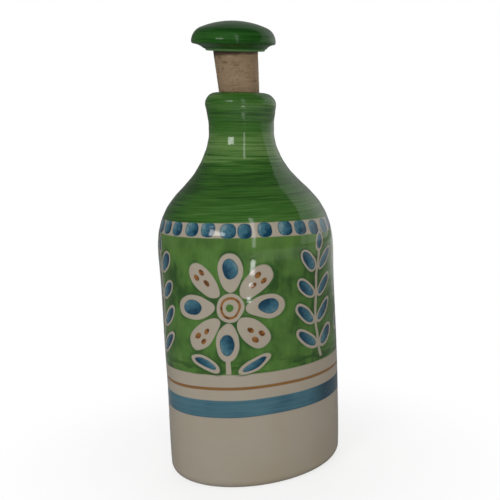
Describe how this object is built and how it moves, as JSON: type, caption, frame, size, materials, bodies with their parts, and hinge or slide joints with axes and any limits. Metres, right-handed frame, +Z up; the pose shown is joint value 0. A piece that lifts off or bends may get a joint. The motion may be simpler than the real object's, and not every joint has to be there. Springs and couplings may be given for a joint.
{
  "type": "ceramic oil and vinegar bottle",
  "caption": "Hand-thrown glazed ceramic bottle with an oval foot, round shoulder, rolled lip, tapered cork and ceramic knob, for pouring oil or vinegar.",
  "frame": {"origin": "middle of the oval foot, on the surface the bottle stands on", "axes": "+Z up through the neck, +X along the foot's long axis, +Y along its short axis"},
  "size_m": [0.0987, 0.0897, 0.2272],
  "materials": {
    "painted_glaze": "gloss",
    "cork": "matte",
    "green_glaze": "gloss"
  },
  "bodies": {
    "root": {"bottle_body": "painted_glaze", "cork_stopper": "cork", "stopper_knob": "green_glaze"}
  },
  "joints": []
}
